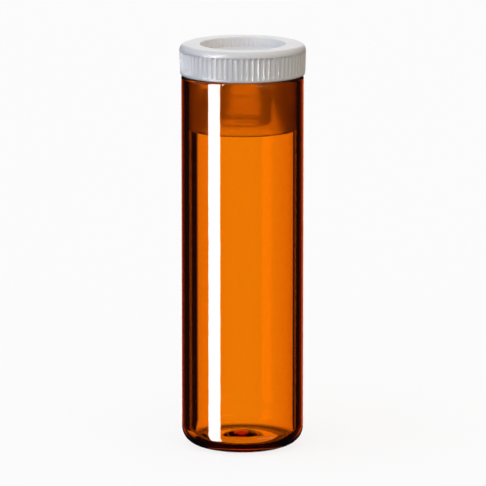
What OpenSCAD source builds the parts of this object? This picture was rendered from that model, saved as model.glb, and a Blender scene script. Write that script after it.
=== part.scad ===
// Shell vial of amber glass, closed by a push-in plug.
// Everything is round about Z. The bench is z = 0. Sizes are in millimetres.

/* [Glass vial] */
// Outside diameter of the glass tube
vial_d = 14.65; // [12:0.05:30]
// Height of the glass, bench to rim
vial_h = 45; // [25:0.5:120]
// Wall of the tube
wall_t = 0.9; // [0.6:0.05:1.5]
// Height of the inside floor at its middle, above the bench
floor_z = 1.16; // [1:0.02:2.5]
// How far the inside floor falls from its middle to the corner
crown_h = 0.27; // [0.05:0.01:0.4]
// Outside radius of the heel, between wall and underside
heel_r = 2.2; // [1:0.1:3]
// Inside radius of the corner, between wall and floor
corner_r = 1.4; // [0.6:0.1:2]
// Diameter of the hollow pressed up into the underside
pushup_d = 10; // [8:0.1:10]
// Height of that hollow
pushup_h = 0.22; // [0.1:0.01:0.4]
// Width of the shoulder where the hollow climbs
pushup_w = 0.7; // [0.5:0.1:2.5]
// Diameter of the dimple in the middle of the hollow
dimple_d = 4.7; // [2:0.1:5]
// Height of the dimple, above the hollow
dimple_h = 0.45; // [0.1:0.01:0.6]
// Width of the shoulder where the dimple climbs
dimple_w = 0.9; // [0.3:0.05:1.5]

/* [Plug flange] */
// Height of the flange
flange_h = 3.6; // [3:0.1:8]
// How far the flange's underside stands out past the glass
overhang = 0.12; // [0.05:0.01:1]
// Draft of the flange's side, wider at the top
side_draft = 1.6; // [0:0.1:3]
// Radius of the flange's top edge
edge_r = 0.7; // [0.3:0.05:1.2]
// Radius of the flange's bottom edge
foot_r = 0.15; // [0.05:0.05:0.3]
// Number of flutes round the side
flutes = 72; // [24:4:96]
// Depth of a flute
flute_depth = 0.14; // [0.05:0.01:0.25]
// Width of the crest left between two flutes
crest_w = 0.12; // [0.05:0.01:0.3]
// Height of the plain band under the flutes
band_h = 0.3; // [0.2:0.05:1]

/* [Plug recess and well] */
// Width of the flat land round the recess, edge radius included
land_w = 2.5; // [1.5:0.1:4]
// Radius of the recess's mouth
lip_edge_r = 0.15; // [0.05:0.05:0.4]
// Depth of the recess in the top
recess_depth = 1.1; // [0.6:0.1:2]
// Draft of the recess wall
recess_draft = 3; // [0:0.5:6]
// Number of flutes round the recess
recess_flutes = 60; // [20:4:80]
// Depth of a flute in the recess
recess_flute_depth = 0.09; // [0.03:0.01:0.15]
// Height of the plain band over the recess flutes, mouth radius included
recess_band_h = 0.3; // [0.2:0.05:0.6]
// Diameter of the well at its mouth
well_d = 5.2; // [3:0.1:7]
// Draft of the well
well_draft = 1; // [0:0.5:2]
// Radius of the well's mouth
mouth_r = 0.4; // [0.1:0.05:0.6]
// Radius in the bottom corner of the well
well_corner_r = 0.6; // [0.2:0.1:1]
// Wall and floor of the well
well_t = 0.8; // [0.5:0.05:1.2]

/* [Plug skirt] */
// Length of the skirt below the flange
skirt_l = 6.6; // [4:0.1:15]
// How much shorter the well is than the skirt
well_setback = 0.9; // [0.3:0.1:2]
// Thickness of the skirt at its lip
lip_t = 1.2; // [0.7:0.05:2]
// Radius of the lip's outer edge, the lead-in to the bore
lead_r = 0.4; // [0.1:0.05:0.6]
// Width of the groove between well and skirt, at its root
groove_w = 0.6; // [0.4:0.05:1.5]
// Solid web between the flange's underside and the root of the groove
web_h = 1.9; // [1:0.1:3]
// Fillet where the skirt meets the flange
neck_r = 0.2; // [0.05:0.05:0.3]

/* [Fit] */
// Radial clearance of the skirt in the bore
bore_clearance = 0.03; // [0.01:0.01:0.1]
// Gap between the flange and the crown of the rim
seat_gap = 0.02; // [0:0.01:0.1]

/* [Hidden] */
$fn = 96;
// how far a cut runs past the face it opens
past = 1;

// Vial
vial_r = vial_d / 2;
bore_r = vial_r - wall_t;
rim_r = wall_t / 2;
// The inside floor is the cap of a large ball, and the corner's arc meets it on the tangent
corner_x = bore_r - corner_r;
crown_r = (corner_x * corner_x + crown_h * crown_h) / (2 * crown_h);
crown_z = floor_z - crown_r;
corner_z = crown_z + sqrt(pow(crown_r + corner_r, 2) - corner_x * corner_x);

// Plug: heights are above the flange's underside, which seats on the rim
seat_z = vial_h + seat_gap;
flange_foot_r = vial_r + overhang;
edge_z = flange_h - edge_r;
flange_r = flange_foot_r + (edge_z - foot_r) * tan(side_draft);
recess_r = flange_r - land_w;
recess_z = flange_h - recess_depth;
recess_floor_r = recess_r - (recess_depth - lip_edge_r) * tan(recess_draft);
well_r = well_d / 2;
well_outer_r = well_r + well_t;
well_end_z = well_setback - skirt_l;
well_floor_z = well_end_z + well_t;
well_top_z = recess_z - mouth_r;
well_floor_r = well_r - (well_top_z - well_floor_z) * tan(well_draft);
skirt_r = bore_r - bore_clearance;
lip_r = skirt_r - lip_t;

// Groove: a round root, and a flared outer wall that leaves it on the tangent to the lip
root_r = groove_w / 2;
root_x = well_outer_r + root_r;
root_z = -web_h - root_r;
lip_dx = lip_r - root_x;
lip_dz = -skirt_l - root_z;
flare_a = atan2(lip_dz, lip_dx) + acos(root_r / norm([lip_dx, lip_dz]));
flare_x = root_x + root_r * cos(flare_a);
flare_z = root_z + root_r * sin(flare_a);

// Radius of the round cutter that is w wide where it sinks by depth
function cutter_r(w, depth) = (w * w / 4 + depth * depth) / (2 * depth);

flute_w = 2 * PI * flange_foot_r / flutes - crest_w;
recess_flute_w = 2 * PI * recess_floor_r / recess_flutes - crest_w;

// Quarter of a disc, to round an outside corner
module round_2d(r) {
    intersection() {
        circle(r);
        square(r);
    }
}

// What is left of a square corner beside a disc, to fill or clear a corner
module fillet_2d(r) {
    difference() {
        square(r);
        translate([r, r]) circle(r);
    }
}

// Rectangle from the axis out to r, between two heights
module disc_2d(r, low, high) {
    translate([0, low]) square([r, high - low]);
}

// ---- Glass vial ----

module vial_outside_2d() {
    disc_2d(vial_r, heel_r, vial_h - rim_r);
    disc_2d(vial_r - heel_r, 0, heel_r);
    translate([vial_r - heel_r, heel_r]) mirror([0, 1]) round_2d(heel_r);
}

module vial_inside_2d() {
    difference() {
        polygon([[0, crown_z], [corner_x, corner_z], [corner_x, vial_h + past], [0, vial_h + past]]);
        translate([0, crown_z]) circle(crown_r);
    }
    translate([corner_x, corner_z]) circle(corner_r);
    translate([corner_x, corner_z]) square([corner_r, vial_h + past - corner_z]);
}

// Hollow under a shoulder that climbs by rise over a width of w, in two equal arcs
module hollow_2d(r, w, rise) {
    arc_r = (w * w + rise * rise) / (4 * rise);
    disc_2d(r - w, -past, rise);
    intersection() {
        translate([r - w, rise - arc_r]) circle(arc_r);
        translate([r - w, -past]) square([w / 2, past + rise]);
    }
    difference() {
        translate([r - w / 2, -past]) square([w / 2, past + rise / 2]);
        translate([r, arc_r]) circle(arc_r);
    }
}

module glass_vial() {
    color([0.85, 0.42, 0.05, 0.6])
    rotate_extrude() {
        difference() {
            vial_outside_2d();
            vial_inside_2d();
            hollow_2d(pushup_d / 2, pushup_w, pushup_h);
            translate([0, pushup_h]) hollow_2d(dimple_d / 2, dimple_w, dimple_h);
        }
        translate([vial_r - rim_r, vial_h - rim_r]) circle(rim_r);
    }
}

// ---- Plug ----

module flange_2d() {
    polygon([
        [0, 0],
        [flange_foot_r - foot_r, 0],
        [flange_foot_r, foot_r],
        [flange_r, edge_z],
        [flange_r - edge_r, flange_h],
        [0, flange_h]
    ]);
    translate([flange_r - edge_r, edge_z]) round_2d(edge_r);
    translate([flange_foot_r - foot_r, foot_r]) mirror([0, 1]) round_2d(foot_r);
}

module skirt_2d() {
    disc_2d(skirt_r, lead_r - skirt_l, 0);
    disc_2d(skirt_r - lead_r, -skirt_l, lead_r - skirt_l);
    translate([skirt_r - lead_r, lead_r - skirt_l]) mirror([0, 1]) round_2d(lead_r);
    translate([skirt_r, 0]) mirror([0, 1]) fillet_2d(neck_r);
}

module recess_2d() {
    polygon([
        [0, recess_z],
        [recess_floor_r, recess_z],
        [recess_r, flange_h - lip_edge_r],
        [recess_r, flange_h + past],
        [0, flange_h + past]
    ]);
    translate([recess_r, flange_h]) mirror([0, 1]) fillet_2d(lip_edge_r);
}

module well_2d() {
    polygon([
        [0, well_floor_z],
        [well_floor_r - well_corner_r, well_floor_z],
        [well_floor_r, well_floor_z + well_corner_r],
        [well_r, well_top_z],
        [well_r, flange_h - recess_depth / 2],
        [0, flange_h - recess_depth / 2]
    ]);
    translate([well_floor_r - well_corner_r, well_floor_z + well_corner_r])
        mirror([0, 1]) round_2d(well_corner_r);
    translate([well_r, recess_z]) mirror([0, 1]) fillet_2d(mouth_r);
}

// Groove round the well, and the space under the well's end
module groove_2d() {
    polygon([
        [well_outer_r, root_z],
        [root_x, root_z],
        [flare_x, flare_z],
        [lip_r, -skirt_l],
        [lip_r, -skirt_l - past],
        [0, -skirt_l - past],
        [0, well_end_z],
        [well_outer_r, well_end_z]
    ]);
    translate([root_x, root_z]) circle(root_r);
    translate([well_outer_r, well_end_z]) mirror([1, 0]) fillet_2d(well_corner_r);
}

// Flutes stand upright while the side leans out, so they run a little deeper at the top,
// where each ends in a dome. A crest, not a flute, lies on the X axis.
module side_flutes() {
    r = cutter_r(flute_w, flute_depth);
    length = edge_z - band_h - flute_w / 2;
    for (i = [0 : flutes - 1])
        rotate((i + 0.5) * 360 / flutes)
        translate([flange_foot_r - flute_depth + r, 0, band_h]) {
            cylinder(r = r, h = length);
            translate([0, 0, length]) sphere(r);
        }
}

// Flutes of the recess stand upright too, and end flat on its floor and under its mouth
module recess_flutes() {
    r = cutter_r(recess_flute_w, recess_flute_depth);
    intersection() {
        for (i = [0 : recess_flutes - 1])
            rotate((i + 0.5) * 360 / recess_flutes)
            translate([recess_floor_r + recess_flute_depth - r, 0, recess_z - past])
            rotate(180)
                cylinder(r = r, h = past + recess_depth - recess_band_h);
        translate([0, 0, recess_z]) cylinder(r = recess_r + past, h = recess_depth);
    }
}

module plug() {
    color([0.9, 0.9, 0.9])
    translate([0, 0, seat_z])
    difference() {
        rotate_extrude()
            difference() {
                union() {
                    flange_2d();
                    skirt_2d();
                }
                recess_2d();
                well_2d();
                groove_2d();
            }
        side_flutes();
        recess_flutes();
    }
}

glass_vial();
plug();
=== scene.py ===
"""Glass sample vial: the looks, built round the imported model.

Everything is in metres in the model's own frame: the vial stands on z = 0 and
the camera looks along +Y.
"""
import math

import bmesh
import bpy
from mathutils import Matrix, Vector


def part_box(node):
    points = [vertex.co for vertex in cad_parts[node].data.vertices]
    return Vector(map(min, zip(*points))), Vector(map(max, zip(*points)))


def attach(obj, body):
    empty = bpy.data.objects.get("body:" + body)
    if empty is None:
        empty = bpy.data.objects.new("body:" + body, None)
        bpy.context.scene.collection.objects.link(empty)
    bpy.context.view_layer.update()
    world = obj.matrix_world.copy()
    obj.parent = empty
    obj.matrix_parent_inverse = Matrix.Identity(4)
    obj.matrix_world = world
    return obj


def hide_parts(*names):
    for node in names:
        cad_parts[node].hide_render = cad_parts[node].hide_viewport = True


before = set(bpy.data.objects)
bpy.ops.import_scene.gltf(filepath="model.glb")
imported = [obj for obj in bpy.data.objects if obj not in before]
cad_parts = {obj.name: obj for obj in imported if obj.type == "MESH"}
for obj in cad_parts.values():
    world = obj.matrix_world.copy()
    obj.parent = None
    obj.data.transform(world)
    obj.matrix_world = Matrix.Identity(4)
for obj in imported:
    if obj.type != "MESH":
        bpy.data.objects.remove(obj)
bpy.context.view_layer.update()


# ---------------------------------------------------------------- sizes

MM = 0.001

# Outside of the glass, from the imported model
glass_low, glass_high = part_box("glass_vial")
VIAL_R = (glass_high.x - glass_low.x) / 2
VIAL_H = glass_high.z

# The glass's other sizes, which its box doesn't give. They are those of the part's source,
# apart from the bead, which is only here.
WALL = 0.9 * MM
BORE_R = VIAL_R - WALL
RIM_R = WALL / 2
HEEL_R = 2.2 * MM
CORNER_R = 1.4 * MM
# height of the inside floor at its middle, and how far it falls from there to the corner
FLOOR = 1.16 * MM
CROWN_H = 0.27 * MM
# round bead in the middle of the inside floor
BEAD_R = 2.35 * MM
BEAD_H = 0.55 * MM
# hollow pressed up into the underside: its shoulder's two radii, and its height
PUSHUP_OUT = 5.0 * MM
PUSHUP_IN = 4.3 * MM
PUSHUP_H = 0.22 * MM
# dimple in the middle of that hollow, the same way
DIMPLE_OUT = 2.35 * MM
DIMPLE_IN = 1.45 * MM
DIMPLE_H = 0.45 * MM

# steps of the glass mesh, round the axis and along the inside floor
SEGMENTS = 360
FLOOR_STEPS = 64


# ---------------------------------------------------------------- meshes

def arc(cx, cz, r, start, end, steps):
    """Points of an arc in the (r, z) plane, both ends included; angles in degrees."""
    out = []
    for i in range(steps + 1):
        a = math.radians(start + (end - start) * i / steps)
        out.append((cx + r * math.cos(a), cz + r * math.sin(a)))
    return out


def joined(*runs):
    """One profile from several runs of points, with doubled points left out."""
    out = []
    for p in (p for run in runs for p in run):
        if not out or math.dist(p, out[-1]) > 1e-7:
            out.append(p)
    return out


def straight(start, end, steps, guard=0.04 * MM):
    """Points of a straight run. The first and last steps are short, so that the
    rounded shading of the curves beside it doesn't reach into it."""
    length = math.dist(start, end)
    stops = [0.0, guard / length]
    stops += [i / steps for i in range(1, steps)]
    stops += [1 - guard / length, 1.0]
    return [tuple(a + (b - a) * t for a, b in zip(start, end)) for t in stops]


def ogee(r_out, r_in, z, rise, steps=12):
    """Points of an S of two equal arcs, flat at both ends, climbing from (r_out, z)."""
    width = r_out - r_in
    r = (width ** 2 + rise ** 2) / (4 * rise)
    turn = math.degrees(2 * math.atan2(rise, width))
    return joined(
        arc(r_out, z + r, r, -90, -90 - turn, steps),
        arc(r_in, z + rise - r, r, 90 - turn, 90, steps),
    )


def bead(r):
    """Height of the bead over the inside floor at radius r. Its foot is soft."""
    cap = BEAD_H * (1 - (r / BEAD_R) ** 2)
    soft = BEAD_H / 4
    if cap > soft:
        return cap
    return max(cap + soft, 0) ** 2 / (4 * soft)


def vial_profile():
    """Outline of the glass in the (r, z) plane: up the inside, over the rim, down the
    outside, and back to the axis under the base."""
    rim_c = (VIAL_R - RIM_R, VIAL_H - RIM_R)
    dimple_z = PUSHUP_H + DIMPLE_H
    # the inside floor is the cap of a large ball, and the corner's arc meets it on the tangent
    corner_x = BORE_R - CORNER_R
    ball_r = (corner_x ** 2 + CROWN_H ** 2) / (2 * CROWN_H)
    ball_z = FLOOR - ball_r
    corner_z = ball_z + math.sqrt((ball_r + CORNER_R) ** 2 - corner_x ** 2)
    lean = math.degrees(math.asin(corner_x / (ball_r + CORNER_R)))
    floor_r = ball_r * math.sin(math.radians(lean))
    floor = [floor_r * i / FLOOR_STEPS for i in range(FLOOR_STEPS + 1)]
    return joined(
        [(r, ball_z + math.sqrt(ball_r ** 2 - r ** 2) + bead(r)) for r in floor],
        arc(corner_x, corner_z, CORNER_R, -90 - lean, 0, 30),
        straight((BORE_R, corner_z), (BORE_R, rim_c[1]), 12),
        arc(*rim_c, RIM_R, 180, 0, 24),
        straight((VIAL_R, rim_c[1]), (VIAL_R, HEEL_R), 12),
        arc(VIAL_R - HEEL_R, HEEL_R, HEEL_R, 0, -90, 36),
        ogee(PUSHUP_OUT, PUSHUP_IN, 0, PUSHUP_H),
        ogee(DIMPLE_OUT, DIMPLE_IN, PUSHUP_H, DIMPLE_H),
        straight((DIMPLE_IN, dimple_z), (0, dimple_z), 4),
    )


def lathe(name, profile, segments):
    """A closed solid of revolution about Z; the profile starts and ends on the axis."""
    bm = bmesh.new()
    rings = []
    for r, z in profile:
        if r < 1e-9:
            rings.append([bm.verts.new((0, 0, z))])
        else:
            rings.append([
                bm.verts.new((r * math.cos(t), r * math.sin(t), z))
                for t in (2 * math.pi * k / segments for k in range(segments))
            ])
    for a, b in zip(rings, rings[1:]):
        for k in range(segments):
            n = (k + 1) % segments
            if len(a) == 1:
                bm.faces.new((a[0], b[k], b[n]))
            elif len(b) == 1:
                bm.faces.new((a[k], b[0], a[n]))
            else:
                bm.faces.new((a[k], b[k], b[n], a[n]))
    bmesh.ops.recalc_face_normals(bm, faces=bm.faces)
    for f in bm.faces:
        f.smooth = True
    mesh = bpy.data.meshes.new(name)
    bm.to_mesh(mesh)
    bm.free()
    obj = bpy.data.objects.new(name, mesh)
    bpy.context.collection.objects.link(obj)
    return obj


# ---------------------------------------------------------------- nodes

WHITE = (1, 1, 1, 1)


class Graph:
    """Short calls for the nodes of one tree. Each value is a constant or a node's output."""

    def __init__(self, tree):
        self.tree = tree
        self.node = tree.nodes.new
        self.link = tree.links.new

    def put(self, value, socket):
        if hasattr(value, "is_linked"):
            self.link(value, socket)
        else:
            socket.default_value = value

    def math(self, op, *values):
        node = self.node("ShaderNodeMath")
        node.operation = op
        for socket, value in zip(node.inputs, values):
            self.put(value, socket)
        return node.outputs[0]

    def fade(self, value, edge, soft):
        """1 where value is below edge, 0 above it, with a smooth step soft wide."""
        node = self.node("ShaderNodeMapRange")
        node.interpolation_type = "SMOOTHSTEP"
        self.link(value, node.inputs["Value"])
        node.inputs["From Min"].default_value = edge - soft / 2
        node.inputs["From Max"].default_value = edge + soft / 2
        node.inputs["To Min"].default_value = 1.0
        node.inputs["To Max"].default_value = 0.0
        return node.outputs[0]

    def mix(self, share, first, second):
        """A number that goes from first to second as share goes from 0 to 1."""
        node = self.node("ShaderNodeMix")
        node.data_type = "FLOAT"
        for name, value in (("Factor", share), ("A", first), ("B", second)):
            self.put(value, node.inputs[name])
        return node.outputs["Result"]

    def blend(self, share, first, second):
        """A colour that goes from first to second as share goes from 0 to 1."""
        node = self.node("ShaderNodeMix")
        node.data_type = "RGBA"
        # this node holds sockets for every data type, and 6 and 7 are its colours
        for i, value in ((0, share), (6, first), (7, second)):
            self.put(value, node.inputs[i])
        return node.outputs[2]

    def noise(self, scale, stretch=(1, 1, 1), detail=2.0):
        """Noise in the piece's own coordinates; scale is in cycles per metre."""
        coord = self.node("ShaderNodeTexCoord")
        sized = self.node("ShaderNodeMapping")
        sized.inputs["Scale"].default_value = stretch
        cloud = self.node("ShaderNodeTexNoise")
        cloud.inputs["Scale"].default_value = scale
        cloud.inputs["Detail"].default_value = detail
        self.link(coord.outputs["Object"], sized.inputs["Vector"])
        self.link(sized.outputs[0], cloud.inputs["Vector"])
        return cloud.outputs["Fac"]

    def bump(self, height, distance):
        """The normal of a surface that height, from 0 to 1, raises by up to distance."""
        node = self.node("ShaderNodeBump")
        node.inputs["Distance"].default_value = distance
        self.link(height, node.inputs["Height"])
        return node.outputs["Normal"]


# ---------------------------------------------------------------- materials

def new_material(name):
    """A new material, its graph, its Principled shader and its output."""
    mat = bpy.data.materials.new(name)
    mat.use_nodes = True
    tree = mat.node_tree
    return mat, Graph(tree), tree.nodes["Principled BSDF"], tree.nodes["Material Output"]


GLASS_IOR = 1.5
# what the glass takes out of white light, as a colour and a density in 1/m
AMBER = (0.955, 0.7475, 0.0, 1)
AMBER_DENSITY = 4000
# faint lines along the wall, left from drawing the tube
DRAW_LINES = 500
DRAW_STRETCH = (1, 1, 0.02)
DRAW_DEPTH = 0.0008 * MM


def amber_glass():
    mat, g, shader, out = new_material("amber_glass")
    shader.inputs["Base Color"].default_value = WHITE
    shader.inputs["Transmission Weight"].default_value = 1.0
    shader.inputs["Roughness"].default_value = 0.0
    shader.inputs["IOR"].default_value = GLASS_IOR
    lines = g.noise(DRAW_LINES, DRAW_STRETCH)
    g.link(g.bump(lines, DRAW_DEPTH), shader.inputs["Normal"])
    absorb = g.node("ShaderNodeVolumeAbsorption")
    absorb.inputs["Color"].default_value = AMBER
    absorb.inputs["Density"].default_value = AMBER_DENSITY
    g.link(absorb.outputs[0], out.inputs["Volume"])
    return mat


# the plastic by itself: a mottle between two shades and two roughnesses, and a fine grain
MOTTLE = 250
SHADES = (0.805, 0.81, 0.815, 1), (0.85, 0.85, 0.85, 1)
ROUGHNESS = 0.26, 0.40
GRAIN = 5000
GRAIN_DEPTH = 0.006 * MM
PLASTIC_IOR = 1.51
# the plastic behind the glass: how clear it is, and how much less so at its first surface
CLEAR_SHARE = 0.98
HAZE = 0.4
CLEAR_TINT = (0.98, 0.89, 0.76, 1)
CLEAR_ROUGHNESS = 0.24
CLEAR_IOR = 1.26


def polyethylene():
    """Milky plastic. Where it is seen through the glass it is mostly clear, so that its
    well and its groove show."""
    mat, g, shader, out = new_material("white_polyethylene")
    path = g.node("ShaderNodeLightPath")
    behind = path.outputs["Is Transmission Ray"]
    mottle = g.noise(MOTTLE, detail=3.0)
    shade = g.blend(mottle, *SHADES)
    g.link(g.blend(behind, shade, CLEAR_TINT), shader.inputs["Base Color"])
    rough = g.math("MULTIPLY_ADD", mottle, ROUGHNESS[1] - ROUGHNESS[0], ROUGHNESS[0])
    less = g.math("SUBTRACT", CLEAR_ROUGHNESS, rough)
    g.link(g.math("MULTIPLY_ADD", behind, less, rough), shader.inputs["Roughness"])
    grain = g.math("MULTIPLY", g.noise(GRAIN, detail=3.0), g.math("SUBTRACT", 1.0, behind))
    g.link(g.bump(grain, GRAIN_DEPTH), shader.inputs["Normal"])
    ior = g.math("MULTIPLY_ADD", behind, CLEAR_IOR - PLASTIC_IOR, PLASTIC_IOR)
    g.link(ior, shader.inputs["IOR"])
    shader.inputs["Subsurface Weight"].default_value = 0.6
    shader.inputs["Subsurface Radius"].default_value = (1.0, 0.95, 0.9)
    shader.inputs["Subsurface Scale"].default_value = 0.5 * MM
    # the glass's wall counts 2, so a ray with more than that has mostly been in the plastic
    first = g.math("LESS_THAN", path.outputs["Transmission Depth"], 2.5)
    clear = g.math("MULTIPLY_ADD", first, -HAZE, CLEAR_SHARE)
    g.link(g.math("MULTIPLY", behind, clear), shader.inputs["Transmission Weight"])
    return mat


# ---------------------------------------------------------------- pieces

glass = lathe("amber_glass_tube", vial_profile(), SEGMENTS)
glass.data.materials.append(amber_glass())
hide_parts("glass_vial")
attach(glass, "vial")

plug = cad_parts["plug"]
plastic = polyethylene()
for slot in plug.material_slots:
    slot.material = plastic


# ---------------------------------------------------------------- world

# Softboxes as the glass sees them, in degrees and radiance: azimuth from +Y towards +X
# and elevation, each from and to, strength when mirrored and when seen through the glass,
# width of the soft edge
SOFTBOXES = [
    # backdrop behind the vial
    (-10.6, 18.0, -40, 32, 1.35, 1.35, 2.5),
    # strip on the camera's left, which the glass mirrors as a white streak
    (-137, -112.5, -36, 50, 24.0, 3.0, 2.0),
    # low lamp on the camera's right
    (132, 159, -4, 12, 3.0, 3.0, 2.0),
    # backdrops of the views from the right, from behind and from the front right
    (-100.6, -72, -7, 7, 1.0, 1.0, 2.5),
    (118, 152, -20, -13.8, 1.0, 1.0, 1.0),
    (-62, -28, -34, -20, 0.0, 1.0, 2.5),
    # the bench all round, for views from above
    (-190, 190, -95, -62, 0.0, 0.8, 4.0),
]
# what the glass sees between them
DARK = 0.012

# Soft light on everything that isn't mirrored or seen through the glass: from all round, from
# above, and from a wide lamp on the camera's left
FILL_LIGHT = 0.2
TOP_LIGHT = 0.45
KEY_LIGHT = 0.8
KEY = Vector((-0.35, -0.9, 0.25)).normalized()
# colour of that light on the left and on the right, and the x of its direction where the one
# turns into the other
COOL = (0.93, 0.985, 1.13, 1)
WARM = (1.0, 0.85, 0.64, 1)
TURN_X = 0.1
TURN_SOFT = 0.9
# colour of what comes through the glass, how much brighter that is from in front and from
# behind, and how fast it falls off to the sides
DEEP = (1.0, 0.82, 0.6, 1)
GAIN = 5.8
GAIN_POWER = 4.0
# what the camera sees past the floor
BACKGROUND = 1.0


def softboxes(g, azimuth, elevation, through):
    """Radiance of all the softboxes in one direction."""
    total = DARK
    for a0, a1, e0, e1, mirrored, seen_through, soft in SOFTBOXES:
        soft = math.radians(soft)
        off_a = g.math("SUBTRACT", azimuth, math.radians((a0 + a1) / 2))
        off_a = g.math("ABSOLUTE", g.math("WRAP", off_a, math.pi, -math.pi))
        off_e = g.math("SUBTRACT", elevation, math.radians((e0 + e1) / 2))
        off_e = g.math("ABSOLUTE", off_e)
        in_a = g.fade(off_a, math.radians((a1 - a0) / 2), soft)
        in_e = g.fade(off_e, math.radians((e1 - e0) / 2), soft)
        inside = g.math("MULTIPLY", in_a, in_e)
        strength = g.math("MULTIPLY_ADD", through, seen_through - mirrored, mirrored)
        total = g.math("MULTIPLY_ADD", inside, strength, total)
    return total


def studio_world():
    world = bpy.data.worlds.new("studio")
    world.use_nodes = True
    bpy.context.scene.world = world
    world.node_tree.nodes.clear()
    g = Graph(world.node_tree)
    coord = g.node("ShaderNodeTexCoord")
    split = g.node("ShaderNodeSeparateXYZ")
    g.link(coord.outputs["Generated"], split.inputs[0])
    x, y, z = split.outputs
    path = g.node("ShaderNodeLightPath")
    camera_ray = path.outputs["Is Camera Ray"]
    through = path.outputs["Is Transmission Ray"]
    boxes = softboxes(g, g.math("ARCTAN2", x, y), g.math("ARCSINE", z), through)

    up = g.math("MAXIMUM", z, 0.0)
    front = g.math("MULTIPLY", x, KEY[0])
    front = g.math("MULTIPLY_ADD", y, KEY[1], front)
    front = g.math("MAXIMUM", g.math("MULTIPLY_ADD", z, KEY[2], front), 0.0)
    soft_light = g.math("MULTIPLY_ADD", up, TOP_LIGHT, FILL_LIGHT)
    soft_light = g.math("MULTIPLY_ADD", front, KEY_LIGHT, soft_light)
    along = g.math("MULTIPLY", through, g.math("POWER", g.math("ABSOLUTE", y), GAIN_POWER))
    soft_light = g.math("MULTIPLY", soft_light, g.math("MULTIPLY_ADD", along, GAIN, 1.0))

    # a sharp ray is mirrored or seen through the glass, and has met no dull surface before
    sharp = g.math("MAXIMUM", path.outputs["Is Glossy Ray"], through)
    spread = g.math("GREATER_THAN", path.outputs["Diffuse Depth"], 0.5)
    sharp = g.math("MULTIPLY", sharp, g.math("SUBTRACT", 1.0, spread))
    radiance = g.mix(camera_ray, g.mix(sharp, soft_light, boxes), BACKGROUND)
    tint = g.blend(g.fade(x, TURN_X, TURN_SOFT), WARM, COOL)
    tint = g.blend(through, tint, DEEP)
    tint = g.blend(g.math("MAXIMUM", sharp, camera_ray), tint, WHITE)

    back = g.node("ShaderNodeBackground")
    g.link(tint, back.inputs["Color"])
    g.link(radiance, back.inputs["Strength"])
    out = g.node("ShaderNodeOutputWorld")
    g.link(back.outputs[0], out.inputs["Surface"])


# ---------------------------------------------------------------- floor

FLOOR_SIZE = 4.0
# how pale the floor is under the light that falls on it, by itself and, darkened as a painted
# shadow, when seen through the glass, and what it gives to the camera on top of that
FLOOR_SHADE = 0.2
FLOOR_PAINTED_SHADOW = 0.01
FLOOR_GLOW = 0.83
# the ring of painted shadow round the foot, where the darkened floor shows through the glass: its
# inner and outer radius, and the widths of their soft edges
UNDER_R = 4.3 * MM
UNDER_SOFT = 0.3 * MM
CONTACT_R = 7.6 * MM
CONTACT_SOFT = 3.0 * MM


def studio_floor():
    """A pale floor. Through the glass it shows only in a ring close round the foot, where it is
    in the object's own shadow, which is painted there as a near-black colour; further out the
    glass sees the backdrop."""
    bpy.ops.mesh.primitive_plane_add(size=FLOOR_SIZE)
    floor = bpy.context.object
    floor.name = "studio_floor"
    floor.visible_glossy = False
    mat, g, shader, out = new_material("pale_floor")
    g.tree.nodes.remove(shader)
    path = g.node("ShaderNodeLightPath")
    through = path.outputs["Is Transmission Ray"]
    diffuse = g.node("ShaderNodeBsdfDiffuse")
    # painted shadow: where the glass sees the floor, its colour drops almost to black to stand
    # for the object's shadow
    shade = g.math("MULTIPLY_ADD", through, FLOOR_PAINTED_SHADOW - FLOOR_SHADE, FLOOR_SHADE)
    g.link(shade, diffuse.inputs["Color"])
    glow = g.node("ShaderNodeEmission")
    g.link(g.math("MULTIPLY", path.outputs["Is Camera Ray"], FLOOR_GLOW), glow.inputs["Strength"])
    add = g.node("ShaderNodeAddShader")
    g.link(diffuse.outputs[0], add.inputs[0])
    g.link(glow.outputs[0], add.inputs[1])

    place = g.node("ShaderNodeNewGeometry")
    length = g.node("ShaderNodeVectorMath")
    length.operation = "LENGTH"
    g.link(place.outputs["Position"], length.inputs[0])
    from_axis = length.outputs["Value"]
    # painted contact shadow: a ring round the foot where the darkened floor stays opaque to rays
    # through the glass; inside and outside it the floor lets them pass
    painted_shadow_ring = g.fade(from_axis, CONTACT_R, CONTACT_SOFT)
    painted_shadow_ring = g.math("SUBTRACT", painted_shadow_ring, g.fade(from_axis, UNDER_R, UNDER_SOFT))
    sharp = g.math("LESS_THAN", path.outputs["Diffuse Depth"], 0.5)
    sharp = g.math("MULTIPLY", sharp, through)
    clear = g.node("ShaderNodeBsdfTransparent")
    either = g.node("ShaderNodeMixShader")
    g.link(g.math("MULTIPLY", sharp, g.math("SUBTRACT", 1.0, painted_shadow_ring)), either.inputs[0])
    g.link(add.outputs[0], either.inputs[1])
    g.link(clear.outputs[0], either.inputs[2])
    g.link(either.outputs[0], out.inputs["Surface"])
    floor.data.materials.append(mat)


studio_world()
studio_floor()


# ---------------------------------------------------------------- camera

DISTANCE = 0.61
ELEVATION = math.radians(11)
AIM = Vector((0.04 * MM, 0, 24.5 * MM))
LENS = 377.8

camera_data = bpy.data.cameras.new("camera")
camera_data.lens = LENS
camera_data.sensor_width = 36
camera_data.clip_start = 0.01
camera = bpy.data.objects.new("camera", camera_data)
bpy.context.collection.objects.link(camera)
toward = Vector((0, -math.cos(ELEVATION), math.sin(ELEVATION)))
camera.location = AIM + toward * DISTANCE
camera.rotation_euler = (-toward).to_track_quat("-Z", "Y").to_euler()
bpy.context.scene.camera = camera
bpy.context.scene.view_settings.view_transform = "Standard"
